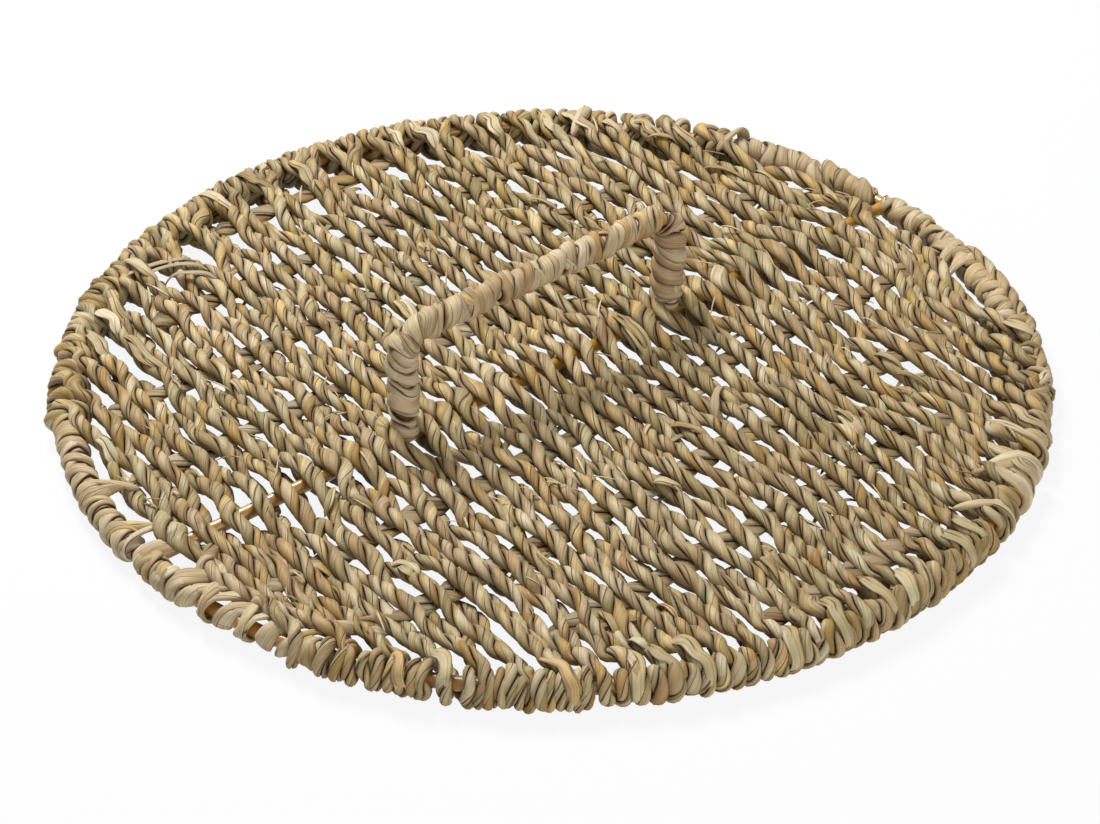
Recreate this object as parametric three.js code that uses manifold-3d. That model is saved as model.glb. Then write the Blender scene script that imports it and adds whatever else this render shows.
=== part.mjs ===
// Round flat lid of woven seagrass: a wire hoop with one bar across it and a bent wire handle on the bar,
// twisted seagrass cords woven over and under eight cross cords and wound round the hoop at their ends,
// and flat strands wound round the handle and round the bare sides of the hoop.
// Millimetres, +Z up, handle along X, the long cords along Y, underside at Z = 0.
import * as THREE from 'three';
import { mergeVertices } from 'three/addons/utils/BufferGeometryUtils.js';
import Module from 'manifold-3d';

const wasm = await Module();
wasm.setup();

// Frame of round wire
const LID_DIAMETER = 360;        // over the cords that wrap the hoop
const WIRE_DIAMETER = 5;
const HANDLE_RISE = 43;          // middle of the bar to middle of the grip
const HANDLE_BEND = 9;           // radius at the middle of the wire
const LEFT_LEG_PAIRS = 7;        // pairs of long cords between the middle and the left leg
const RIGHT_LEG_PAIRS = 6;

// Woven cords
const CORD_DIAMETER = 4.2;       // long cords
const CORD_SPACING_GAP = 0.5;    // between neighbouring long cords where they pass each other
const CROSS_CORD_HEIGHT = 3;
const CROSS_CORD_WIDTH = 6;
const CROSS_CORD_PAIRS = 2;      // on each side of the bar
const OUTER_CROSS_CORD_ROOM = 12.5;  // middle of the outermost cross cord to the wraps on the hoop
const SIDE_ROOM = 16;            // middle of the outermost long cord to middle of the hoop, before it bows
const LEFT_SIDE_GAP = 5;         // between the outermost long cord where it bows and the strand on the hoop
const RIGHT_SIDE_GAP = 1.5;
const WEAVE_LEAN = THREE.MathUtils.degToRad(3);
const CROSS_CORD_END_GAP = 4;    // between a cross cord's end and the wraps on the hoop
const CROSSING_ROOM = 20;        // for a long cord to pass from one face of the weave to the other
const TOUCH_GAP = 0.3;           // between pieces that lie on each other
const FLAT_SHARE = 0.1;          // share of a cord's diameter that is pressed flat where the lid lies

// Flat strands wound round the wire
const GRIP_STRAND_WIDTH = 3.9;
const GRIP_STRAND_THICKNESS = 2.4;
const RIM_STRAND_WIDTH = 5;
const RIM_STRAND_THICKNESS = 2.6;
const TURN_GAP = 0.55;           // between neighbouring turns of a strand
const MOST_TURNS = 24;

// Facets
const CORD_SIDES = 5;
const CROSS_CORD_SIDES = 8;
const WIRE_SIDES = 8;
const HOOP_SEGMENTS = 60;
const BEND_STEPS = 5;
const WRAP_STEP = 60;            // degrees of wrap round the hoop in one straight stretch of cord
const TURN_STEPS = 6;            // straight stretches in one turn of a strand

const wireRadius = WIRE_DIAMETER / 2;
const cordRadius = CORD_DIAMETER / 2;
const passPitch = CORD_DIAMETER + CORD_SPACING_GAP;
const halfStep = THREE.MathUtils.degToRad(WRAP_STEP / 2);
const lastWrapCorner = (Math.ceil(180 / WRAP_STEP) - 1) * WRAP_STEP;
const wrapLift = wireRadius + TOUCH_GAP + cordRadius;
const wrapRadius = wrapLift / Math.cos(halfStep);
const hoopRadius = LID_DIAMETER / 2 - wrapRadius - cordRadius;
const crossLift = CROSS_CORD_HEIGHT / 2 + TOUCH_GAP + cordRadius;
const undersideZ = -(wrapLift + cordRadius - FLAT_SHARE * CORD_DIAMETER);
const leftLegX = -2 * LEFT_LEG_PAIRS * passPitch;
const rightLegX = 2 * RIGHT_LEG_PAIRS * passPitch;

const lacqueredSteel = new THREE.MeshStandardMaterial({ color: 0xa07a39, roughness: 0.4, metalness: 0.1 });
const seagrass = new THREE.MeshStandardMaterial({ color: 0xa89670, roughness: 0.85, metalness: 0 });
const paleSeagrass = new THREE.MeshStandardMaterial({ color: 0xb9a883, roughness: 0.8, metalness: 0 });
const shadedSeagrass = new THREE.MeshStandardMaterial({ color: 0x857453, roughness: 0.9, metalness: 0 });

const lid = new THREE.Group();
lid.name = 'seagrass_lid';
lid.position.z = -undersideZ;

function addPiece(name, geometry, material) {
  const mesh = new THREE.Mesh(geometry, material);
  mesh.name = name;
  lid.add(mesh);
  return mesh;
}

// A path of straight stretches whose sections stand at its corners.
class CornerPath extends THREE.Curve {
  constructor(corners) {
    super();
    this.corners = corners;
  }

  getPoint(t, target = new THREE.Vector3()) {
    const place = t * (this.corners.length - 1);
    const i = Math.min(Math.floor(place), this.corners.length - 2);
    return target.lerpVectors(this.corners[i], this.corners[i + 1], place - i);
  }

  getPointAt(u, target) {
    return this.getPoint(u, target);
  }

  getTangentAt(u, target = new THREE.Vector3()) {
    const i = Math.round(u * (this.corners.length - 1));
    const here = this.corners[i];
    const before = this.corners[Math.max(i - 1, 0)];
    const after = this.corners[Math.min(i + 1, this.corners.length - 1)];
    const incoming = here.clone().sub(before).normalize();
    return target.subVectors(after, here).normalize().add(incoming).normalize();
  }
}

function roundSection(radius, sides) {
  const corners = [];
  for (let i = 0; i < sides; i += 1) {
    const angle = 2 * Math.PI * i / sides;
    corners.push(new THREE.Vector2(radius * Math.cos(angle), radius * Math.sin(angle)));
  }
  return new THREE.Shape(corners);
}

function tubeAlong(corners, radius, sides) {
  return new THREE.ExtrudeGeometry(roundSection(radius, sides), {
    steps: corners.length - 1,
    extrudePath: new CornerPath(corners),
    bevelEnabled: false,
  });
}

function solidOf(geometry) {
  const bare = geometry.clone();
  bare.deleteAttribute('normal');
  bare.deleteAttribute('uv');
  const merged = mergeVertices(bare, 1e-4);
  return new wasm.Manifold(new wasm.Mesh({
    numProp: 3,
    vertProperties: new Float32Array(merged.attributes.position.array),
    triVerts: new Uint32Array(merged.index.array),
  }));
}

function geometryOf(solid) {
  const mesh = solid.getMesh();
  const geometry = new THREE.BufferGeometry();
  geometry.setAttribute('position', new THREE.BufferAttribute(mesh.vertProperties, 3));
  geometry.setIndex(new THREE.BufferAttribute(mesh.triVerts, 1));
  geometry.computeVertexNormals();
  return geometry;
}

// Everything below the surface that the lid lies on
const groundDepth = 4 * CORD_DIAMETER;
const groundBlock = new THREE.BoxGeometry(2 * LID_DIAMETER, 2 * LID_DIAMETER, groundDepth);
groundBlock.translate(0, 0, undersideZ - groundDepth / 2);
const ground = solidOf(groundBlock);

function pressFlat(geometry) {
  return geometryOf(solidOf(geometry).subtract(ground));
}

// Wire frame
const hoop = new THREE.TorusGeometry(hoopRadius, wireRadius, WIRE_SIDES, HOOP_SEGMENTS);
addPiece('rim_hoop', hoop, lacqueredSteel);

const barLength = 2 * (hoopRadius - wireRadius - TOUCH_GAP);
const bar = new THREE.CylinderGeometry(wireRadius, wireRadius, barLength, WIRE_SIDES);
bar.rotateZ(Math.PI / 2);
addPiece('cross_bar', bar, lacqueredSteel);

function handleCorners() {
  const corners = [new THREE.Vector3(leftLegX, 0, wireRadius + TOUCH_GAP)];
  for (const [legX, side] of [[leftLegX, -1], [rightLegX, 1]]) {
    const centreX = legX - side * HANDLE_BEND;
    for (let i = 0; i <= BEND_STEPS; i += 1) {
      const turned = (side < 0 ? i : BEND_STEPS - i) / BEND_STEPS * Math.PI / 2;
      const x = centreX + side * HANDLE_BEND * Math.cos(turned);
      corners.push(new THREE.Vector3(x, 0, HANDLE_RISE - HANDLE_BEND + HANDLE_BEND * Math.sin(turned)));
    }
  }
  corners.push(new THREE.Vector3(rightLegX, 0, wireRadius + TOUCH_GAP));
  return corners;
}
addPiece('handle_rod', tubeAlong(handleCorners(), wireRadius, WIRE_SIDES), lacqueredSteel);

// Cross cords run along X between the layers of long cords, and stop short of the wraps on the hoop.
// A long cord that changes sides between its last cross cord and the hoop needs room to do it.
const landingRadius = hoopRadius - wrapRadius - cordRadius;
const crossCordReach = landingRadius - CROSS_CORD_END_GAP;
const crossCordsPerSide = 2 * CROSS_CORD_PAIRS;
const crossCordSpacing = (landingRadius - OUTER_CROSS_CORD_ROOM) / crossCordsPerSide;

function crossCordHalf(line) {
  const y = Math.abs(line) * crossCordSpacing;
  const clearOfWraps = crossCordReach ** 2 - (y + CROSS_CORD_WIDTH / 2) ** 2;
  const roomToCross = landingRadius ** 2 - (y + CROSSING_ROOM) ** 2;
  return Math.sqrt(line % 2 === 0 ? clearOfWraps : Math.min(clearOfWraps, roomToCross));
}

let crossCordNumber = 0;
for (let line = -crossCordsPerSide; line <= crossCordsPerSide; line += 1) {
  if (line === 0) {
    continue;
  }
  crossCordNumber += 1;
  const radius = CROSS_CORD_HEIGHT / 2;
  const cord = new THREE.CylinderGeometry(radius, radius, 2 * crossCordHalf(line), CROSS_CORD_SIDES);
  cord.rotateZ(Math.PI / 2);
  cord.scale(1, CROSS_CORD_WIDTH / CROSS_CORD_HEIGHT, 1);
  cord.translate(0, line * crossCordSpacing, 0);
  addPiece(`cross_cord_${String(crossCordNumber).padStart(2, '0')}`, cord, shadedSeagrass);
}

// Each long cord is a pair of passes: out on an odd row from the middle, back on the row to the right of it.
const cordPairs = Math.floor((hoopRadius - SIDE_ROOM) / passPitch);
const firstPass = -cordPairs * passPitch;
const outermost = { left: -firstPass, right: -firstPass - passPitch };
const sideGap = { left: LEFT_SIDE_GAP, right: RIGHT_SIDE_GAP };

// A pass is a row at offset from the middle, leaning by WEAVE_LEAN. Where the hoop is bare of long cords
// the outermost rows bow towards it, and the rows beside them follow.
const leanSlope = Math.tan(WEAVE_LEAN);
const rimStrandReach = Math.max(wireRadius + TOUCH_GAP + RIM_STRAND_THICKNESS, RIM_STRAND_WIDTH);

function bowAt(offset, y) {
  const side = offset < 0 ? 'left' : 'right';
  const outer = outermost[side];
  const along = (y + offset * leanSlope) / Math.sqrt(landingRadius ** 2 - outer ** 2);
  const most = hoopRadius - rimStrandReach - sideGap[side] - cordRadius - outer;
  const share = (Math.abs(offset) / outer) ** 4 * Math.cos(Math.min(Math.abs(along), 1) * Math.PI / 2) ** 2;
  return Math.sign(offset) * Math.max(most, 0) * share;
}

function rowPoint(offset, y, z) {
  return new THREE.Vector3(offset + y * leanSlope + bowAt(offset, y), y, z);
}

// Where a row meets the circle of a radius round the middle, on the side of +Y or -Y
function rowAtRadius(offset, radius, side) {
  const squared = 1 + leanSlope ** 2;
  const root = Math.sqrt(squared * radius ** 2 - offset ** 2);
  return (side * root - offset * leanSlope) / squared;
}

// A corner of the cord where it winds round the hoop: 0 is outside, 90 on top
function wrapCorner(offset, degrees, side) {
  const angle = THREE.MathUtils.degToRad(degrees);
  const y = rowAtRadius(offset, hoopRadius + wrapRadius * Math.cos(angle), side);
  return rowPoint(offset, y, wrapRadius * Math.sin(angle));
}

// A corner where a cord comes level with the top or the bottom of the hoop
function landingCorner(offset, z, side) {
  return rowPoint(offset, rowAtRadius(offset, landingRadius, side), z);
}

const shoulder = CROSS_CORD_HEIGHT / 2 + TOUCH_GAP;

// The last cross cord that a pair of passes meets on the side of +Y or -Y
function lastLineMet(offset, side) {
  let line = 0;
  for (let next = 1; next <= crossCordsPerSide; next += 1) {
    const shift = side * next * crossCordSpacing * leanSlope;
    const nearer = Math.min(Math.abs(offset + shift), Math.abs(offset + passPitch + shift));
    if (nearer < crossCordHalf(next) + cordRadius + TOUCH_GAP) {
      line = next;
    }
  }
  return line;
}

// The corners of one pass, over the even lines and under the odd ones if over is 1, the other way if -1.
// The bar is line 0, and the lid lies on the cords that run level under it. Past a last odd line the cord
// keeps its height a short way, then crosses to the hoop.
function passCorners(offset, firstLine, lastLine, over) {
  const corners = [];
  for (let line = firstLine; line <= lastLine; line += 1) {
    const lift = line === 0 ? wrapLift : crossLift;
    const z = over * (line % 2 === 0 ? 1 : -1) * lift;
    const y = line * crossCordSpacing;
    if (line === 0 && over < 0) {
      corners.push(rowPoint(offset, -wireRadius, z), rowPoint(offset, wireRadius, z));
      continue;
    }
    if (line === firstLine && line % 2 !== 0) {
      corners.push(rowPoint(offset, y - shoulder, z));
    }
    corners.push(rowPoint(line === 0 ? besideLeg(offset) : offset, y, z));
    if (line === lastLine && line % 2 !== 0) {
      corners.push(rowPoint(offset, y + shoulder, z));
    }
  }
  return corners;
}

// A cord that goes over the bar next to a handle leg is pushed clear of the leg.
function besideLeg(offset) {
  const room = wireRadius + TOUCH_GAP + cordRadius;
  for (const leg of [leftLegX, rightLegX]) {
    const away = offset - leg;
    if (Math.abs(away) < room) {
      return leg + Math.sign(away) * room;
    }
  }
  return offset;
}

// The outer half of a turn round the hoop, from one angle to the other
function wrapCorners(offset, from, to, side) {
  const corners = [];
  const step = Math.sign(to - from) * WRAP_STEP;
  for (let degrees = from; step * (to - degrees) >= 0; degrees += step) {
    corners.push(wrapCorner(offset, degrees, side));
  }
  return corners;
}

// One long cord: round the hoop, out through the weave, one and a half turns round the far side of the
// hoop, back through the weave and round the hoop again. face is 1 if it sets out on top, -1 if below.
function longCordCorners(out, face) {
  const back = out + passPitch;
  const firstLine = -lastLineMet(out, -1);
  const lastLine = lastLineMet(out, 1);
  const step = face * WRAP_STEP;
  const inside = face * lastWrapCorner;
  return [
    ...wrapCorners(out, -step, step, -1),
    landingCorner(out, face * wrapLift, -1),
    ...passCorners(out, firstLine, lastLine, face),
    landingCorner(out, face * wrapLift, 1),
    ...wrapCorners(out, step, -inside, 1),
    wrapCorner((out + back) / 2, 180, 1),
    ...wrapCorners(back, inside, -step, 1),
    landingCorner(back, -face * wrapLift, 1),
    ...passCorners(back, firstLine, lastLine, -face).reverse(),
    landingCorner(back, -face * wrapLift, -1),
    ...wrapCorners(back, -step, inside, -1),
  ];
}

// The pass in line with a handle leg goes under the bar.
const outFace = cordPairs % 2 === 0 ? -1 : 1;
for (let pair = 0; pair < cordPairs; pair += 1) {
  const corners = longCordCorners(firstPass + 2 * pair * passPitch, outFace);
  const cord = pressFlat(tubeAlong(corners, cordRadius, CORD_SIDES));
  addPiece(`long_cord_${String(pair + 1).padStart(2, '0')}`, cord, seagrass);
}

// A flat strand wound round a wire. axisAt(turn) gives the wire's middle and two directions square to it;
// the ends run straight on for one strand width.
function woundStrand(name, axisAt, turns, width, thickness) {
  const stepAngle = 2 * Math.PI / TURN_STEPS;
  const radius = (wireRadius + TOUCH_GAP + thickness / 2) / Math.cos(stepAngle / 2);
  const steps = Math.round(turns * TURN_STEPS);
  const middles = [];
  const outwards = [];
  for (let i = 0; i <= steps; i += 1) {
    const turn = i / TURN_STEPS;
    const axis = axisAt(turn);
    const angle = 2 * Math.PI * turn;
    const outward = axis.first.clone().multiplyScalar(Math.cos(angle));
    outward.addScaledVector(axis.second, Math.sin(angle));
    outwards.push(outward);
    middles.push(axis.middle.clone().addScaledVector(outward, radius));
  }
  const leadIn = middles[0].clone().sub(middles[1]).setLength(width).add(middles[0]);
  const runOut = middles[steps].clone().sub(middles[steps - 1]).setLength(width).add(middles[steps]);
  middles.unshift(leadIn);
  middles.push(runOut);
  outwards.unshift(outwards[0]);
  outwards.push(outwards[steps + 1]);
  const rings = strandRings(middles, outwards, width, thickness);
  console.log(`${name}: ${turns} turns, least gap to itself ${leastGap(rings).toFixed(2)} mm`);
  addPiece(name, pressFlat(joinRings(rings)), paleSeagrass);
}

function strandRings(middles, outwards, width, thickness) {
  const path = new CornerPath(middles);
  return middles.map((middle, i) => {
    const tangent = path.getTangentAt(i / (middles.length - 1));
    const across = new THREE.Vector3().crossVectors(tangent, outwards[i]).normalize();
    const outward = new THREE.Vector3().crossVectors(across, tangent);
    return [[1, -1], [1, 1], [-1, 1], [-1, -1]].map(([out, over]) => middle.clone()
      .addScaledVector(outward, out * thickness / 2)
      .addScaledVector(across, over * width / 2));
  });
}

function joinRings(rings) {
  const sides = rings[0].length;
  const index = [];
  for (let i = 0; i + 1 < rings.length; i += 1) {
    for (let j = 0; j < sides; j += 1) {
      const a = i * sides + j;
      const b = i * sides + (j + 1) % sides;
      index.push(a, b, b + sides, a, b + sides, a + sides);
    }
  }
  const end = (rings.length - 1) * sides;
  for (let j = 1; j + 1 < sides; j += 1) {
    index.push(0, j + 1, j);
    index.push(end, end + j, end + j + 1);
  }
  const geometry = new THREE.BufferGeometry().setFromPoints(rings.flat());
  geometry.setIndex(index);
  geometry.computeVertexNormals();
  return geometry;
}

// Least distance between edge points of a strand that lie more than half a turn apart along it
function leastGap(rings) {
  let least = Infinity;
  for (let i = 0; i < rings.length; i += 1) {
    for (let j = i + Math.ceil(TURN_STEPS / 2); j < rings.length; j += 1) {
      for (const point of rings[i]) {
        for (const other of rings[j]) {
          least = Math.min(least, point.distanceTo(other));
        }
      }
    }
  }
  return least;
}

function wholeTurns(length, width) {
  return Math.min(MOST_TURNS, Math.floor(length / (width + TURN_GAP)));
}

// Strands on the legs and the grip of the handle
const weaveTop = wrapLift + cordRadius;
const legStart = weaveTop + TOUCH_GAP + GRIP_STRAND_WIDTH / 2;
const legRun = HANDLE_RISE - HANDLE_BEND - GRIP_STRAND_WIDTH / 2 - legStart;
const legTurns = wholeTurns(legRun, GRIP_STRAND_WIDTH);
const alongX = new THREE.Vector3(1, 0, 0);
const alongY = new THREE.Vector3(0, 1, 0);
const alongZ = new THREE.Vector3(0, 0, 1);

for (const [name, legX] of [['handle_wrap_left', leftLegX], ['handle_wrap_right', rightLegX]]) {
  woundStrand(name, (turn) => ({
    middle: new THREE.Vector3(legX, 0, legStart + legRun * turn / legTurns),
    first: alongX,
    second: alongY,
  }), legTurns, GRIP_STRAND_WIDTH, GRIP_STRAND_THICKNESS);
}

const gripRun = rightLegX - leftLegX - 2 * HANDLE_BEND - GRIP_STRAND_WIDTH;
const gripMiddle = (leftLegX + rightLegX) / 2;
const gripTurns = wholeTurns(gripRun, GRIP_STRAND_WIDTH);
woundStrand('handle_wrap_grip', (turn) => ({
  middle: new THREE.Vector3(gripMiddle + gripRun * (turn / gripTurns - 0.5), 0, HANDLE_RISE),
  first: alongY,
  second: alongZ,
}), gripTurns, GRIP_STRAND_WIDTH, GRIP_STRAND_THICKNESS);

// Strands on the bare sides of the hoop, from the bar's end to the first wraps of the long cords
const rimStrandStart = Math.asin((wireRadius + TOUCH_GAP + RIM_STRAND_WIDTH) / hoopRadius);

function rimStrandEnd(outerOffset) {
  const outerRow = (outerOffset + cordRadius + TOUCH_GAP) * Math.cos(WEAVE_LEAN);
  return Math.acos(outerRow / (hoopRadius - rimStrandReach)) - RIM_STRAND_WIDTH / hoopRadius;
}

for (const [side, middleAngle] of [['right', 0], ['left', Math.PI]]) {
  for (const [end, way] of [['back', 1], ['front', -1]]) {
    const turnsToLeft = side === 'right' ? way : -way;
    const leanShift = -WEAVE_LEAN * turnsToLeft;
    const run = rimStrandEnd(outermost[side]) + leanShift - rimStrandStart;
    const turns = wholeTurns(run * (hoopRadius - wireRadius - RIM_STRAND_THICKNESS), RIM_STRAND_WIDTH);
    woundStrand(`rim_wrap_${side}_${end}`, (turn) => {
      const angle = middleAngle + turnsToLeft * (rimStrandStart + run * turn / turns);
      const outward = new THREE.Vector3(Math.cos(angle), Math.sin(angle), 0);
      return { middle: outward.clone().multiplyScalar(hoopRadius), first: alongZ, second: outward };
    }, turns, RIM_STRAND_WIDTH, RIM_STRAND_THICKNESS);
  }
}

export default lid;
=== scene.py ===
import math

import bmesh
import bpy
import numpy as np
from mathutils import Matrix, Vector


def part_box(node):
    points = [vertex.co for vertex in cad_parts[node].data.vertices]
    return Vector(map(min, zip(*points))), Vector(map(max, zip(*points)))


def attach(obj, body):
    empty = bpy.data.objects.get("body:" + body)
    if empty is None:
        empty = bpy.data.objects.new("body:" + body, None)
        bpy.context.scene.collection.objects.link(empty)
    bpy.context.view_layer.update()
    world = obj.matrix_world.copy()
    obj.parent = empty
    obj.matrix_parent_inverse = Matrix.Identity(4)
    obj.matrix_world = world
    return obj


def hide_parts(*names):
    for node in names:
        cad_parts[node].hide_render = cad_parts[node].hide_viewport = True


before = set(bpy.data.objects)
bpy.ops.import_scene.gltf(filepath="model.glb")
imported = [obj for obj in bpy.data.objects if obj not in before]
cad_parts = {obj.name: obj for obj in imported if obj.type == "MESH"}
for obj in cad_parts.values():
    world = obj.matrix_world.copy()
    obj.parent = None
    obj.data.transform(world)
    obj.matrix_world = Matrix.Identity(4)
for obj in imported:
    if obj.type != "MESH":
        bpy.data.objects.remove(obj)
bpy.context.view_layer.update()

bl_info = {
    "name": "Seagrass lid",
    "version": (1, 0, 0),
    "blender": (4, 5, 0),
    "location": "View3D > Sidebar > Seagrass lid",
    "description": "Dresses a wire lid frame in twisted and flat seagrass",
    "category": "Object",
}

MM = 0.001
UV_MAP = "lay"          # across a strand and along it, in centimetres
MAP_CM = 0.1            # centimetres in a millimetre
BLADE_LENGTH = 80       # of the blades that a strand is made of, in millimetres
FOOT_GAP = 0.3          # between the bar and the handle's feet, in millimetres


def linear(code):
    """An sRGB hex colour as the linear red, green, blue and alpha that Blender uses."""
    channels = [int(code[i:i + 2], 16) / 255 for i in (1, 3, 5)]
    return [c / 12.92 if c <= 0.04045 else ((c + 0.055) / 1.055) ** 2.4 for c in channels] + [1.0]


def length(name, description, millimetres):
    """A size of the lid, kept in metres."""
    return bpy.props.FloatProperty(
        name=name, description=description, default=millimetres * MM, unit="LENGTH", precision=5)


def colour(name, description, code):
    """A colour of the lid."""
    return bpy.props.FloatVectorProperty(
        name=name, description=description, default=linear(code), size=4, subtype="COLOR", min=0, max=1)


class LidSizes(bpy.types.PropertyGroup):
    """Sizes of the lid. The first ones repeat the solids that the strands lie on."""
    lid_diameter: length("Lid diameter", "Over the cords that wrap the hoop", 360)
    wire_diameter: length("Wire diameter", "Hoop, bar and handle", 5)
    handle_rise: length("Handle rise", "Middle of the bar to middle of the grip", 43)
    handle_bend: length("Handle bend", "Radius at the middle of the wire", 9)
    left_leg: length("Left leg", "Place of the left handle leg along the bar", -65.8)
    right_leg: length("Right leg", "Place of the right handle leg along the bar", 56.4)
    mid_height: length("Mid height", "Middle of the hoop above the surface the lid lies on", 6.58)
    hoop_radius: length("Hoop radius", "At the middle of the wire", 172.242)
    pass_pitch: length("Pass pitch", "Between neighbouring passes of the long cords", 4.7)
    first_pass: length("First pass", "Place of the first pass along the bar", -155.1)
    cross_spacing: length("Cross cord spacing", "Between neighbouring cross cords", 37.996)
    cross_lift: length("Cross lift", "A long cord's middle above a cross cord's, both pressed flat", 3.2)
    wrap_lift: length("Wrap lift", "Middle of a long cord above the hoop's middle", 4.9)
    lean: bpy.props.FloatProperty(
        name="Lean", description="Of the long cords from square to the bar", default=math.radians(3),
        unit="ROTATION")
    cord_pairs: bpy.props.IntProperty(
        name="Cord pairs", description="Long cords, each out and back", default=33)
    cross_pairs: bpy.props.IntProperty(
        name="Cross pairs", description="Pairs of cross cords on each side", default=2)
    left_gap: length("Left gap", "Between the bowed outermost cord and the strand on the hoop", 5)
    right_gap: length("Right gap", "The same on the other side", 1.5)
    cord_radius: length("Cord radius", "Of a twisted cord as it looks, fuller than its solid", 2.95)
    twist_pitch: length("Twist pitch", "Length of cord in one full twist of its two plies", 21)
    grip_band: length("Grip band", "Width of the flat strands on the handle", 6.2)
    grip_spacing: length("Grip spacing", "Between neighbouring turns on the handle", 4.8)
    grip_thickness: length("Grip thickness", "Of the flat strands on the handle", 1.7)
    rim_band: length("Rim band", "Width of the flat strands on the hoop", 8)
    rim_spacing: length("Rim spacing", "Between neighbouring turns on the hoop", 5.8)
    rim_thickness: length("Rim thickness", "Of the flat strands on the hoop", 1.4)


class LidColours(bpy.types.PropertyGroup):
    """Colours of the lid and its stage."""
    pale: colour("Pale straw", "Driest, most bleached blades", "#d8c7a8")
    straw: colour("Straw", "Most of the grass", "#bea983")
    tan: colour("Tan", "Darker blades", "#9c8258")
    brown: colour("Brown", "Ripe blades", "#866436")
    olive: colour("Olive", "Greener blades", "#958e66")
    rose: colour("Rose beige", "Blades with a pink cast", "#b79a7a")
    golden: colour("Golden cast", "Tint of the ripest blades", "#fff4cc")
    fresh: colour("Fresh cast", "Tint of the youngest blades", "#f9fdff")
    # Painted shade: this colour darkens the grass in deep folds, in a cord's core and in the seams between
    # blades
    crease_shade: colour("Crease", "Deep folds and the core of a cord", "#402504")
    lacquer: colour("Lacquer", "Ochre lacquer on the wire", "#b0822e")
    lacquer_deep: colour("Deep lacquer", "Where the lacquer lies thick", "#8a5f1c")
    floor: colour("Floor", "Pale studio floor", "#d8d8d8")


def sizes():
    """The sizes in millimetres, as plain numbers."""
    kept = bpy.context.scene.lid_sizes
    out = {}
    for name in LidSizes.__annotations__:
        value = getattr(kept, name)
        out[name] = value / MM if name not in ("lean", "cord_pairs", "cross_pairs") else value
    return out


def add(tree, kind, links=None, out=None, stops=(), **settings):
    """Add one node with its settings. links maps its sockets to other sockets or to fixed values, and stops
    are a ramp's positions and colours. Gives the output asked for, or all of them."""
    node = tree.nodes.new("ShaderNode" + kind)
    for key, value in settings.items():
        setattr(node, key, value)
    for socket, value in (links or {}).items():
        if isinstance(value, bpy.types.NodeSocket):
            tree.links.new(value, node.inputs[socket])
        else:
            node.inputs[socket].default_value = value
    if stops:
        elements = node.color_ramp.elements
        while len(elements) < len(stops):
            elements.new(0.5)
        for element, (position, value) in zip(elements, stops):
            element.position, element.color = position, value
    return node.outputs if out is None else node.outputs[out]


def grey(value):
    """A grey, white at 1."""
    return (value, value, value, 1.0)


def new_material(name):
    """A material with its node tree and its shader."""
    material = bpy.data.materials.new(name)
    material.use_nodes = True
    return material, material.node_tree, material.node_tree.nodes["Principled BSDF"]


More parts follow.
